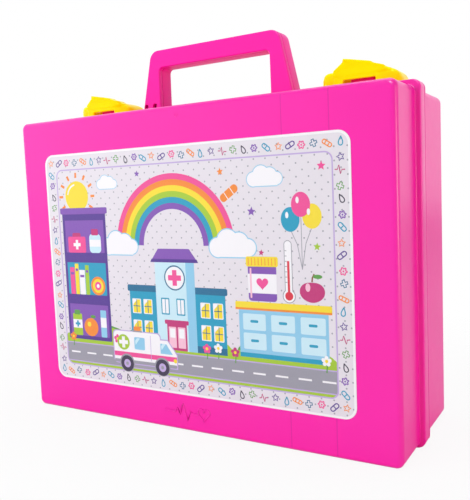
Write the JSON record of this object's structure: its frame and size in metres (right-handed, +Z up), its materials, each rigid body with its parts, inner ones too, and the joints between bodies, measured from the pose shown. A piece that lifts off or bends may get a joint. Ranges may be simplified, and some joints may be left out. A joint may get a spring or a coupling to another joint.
{
  "type": "toy doctor case",
  "caption": "Child's upright carrying case of two moulded shells hinged along the bottom, with a fixed two-part handle and snap latches on top and a picture label on the front.",
  "frame": {"origin": "on the ground, under the middle of the closed case", "axes": "+X along the case's width, to the right as seen from the front; +Y from the label to the back; +Z up"},
  "size_m": [0.303, 0.1082, 0.2736],
  "materials": {
    "shell": "smooth injection-moulded plastic",
    "latch": "glossy injection-moulded plastic",
    "pin": "drawn wire",
    "label": "printed and coated"
  },
  "bodies": {
    "case": {"rear_shell": "shell", "handle_back": "shell", "handle_front": "shell", "latch_pin_left": "pin", "latch_pin_right": "pin", "hinge_pin_left": "pin", "hinge_pin_right": "pin"},
    "lid": {"front_shell": "shell", "label": "label"},
    "latch_left": {"latch_left": "latch"},
    "latch_right": {"latch_right": "latch"}
  },
  "joints": [
    {"name": "lid_hinge", "type": "hinge", "parent": "case", "child": "lid", "pos_m": [0, -0.007, 0.0042], "axis": [1, 0, 0], "range_deg": [0, 105]},
    {"name": "latch_left_lift", "type": "hinge", "parent": "case", "child": "latch_left", "pos_m": [-0.1085, 0.0155, 0.2295], "axis": [-1, 0, 0], "range_deg": [0, 90]},
    {"name": "latch_right_lift", "type": "hinge", "parent": "case", "child": "latch_right", "pos_m": [0.1085, 0.0155, 0.2295], "axis": [-1, 0, 0], "range_deg": [0, 90]}
  ]
}
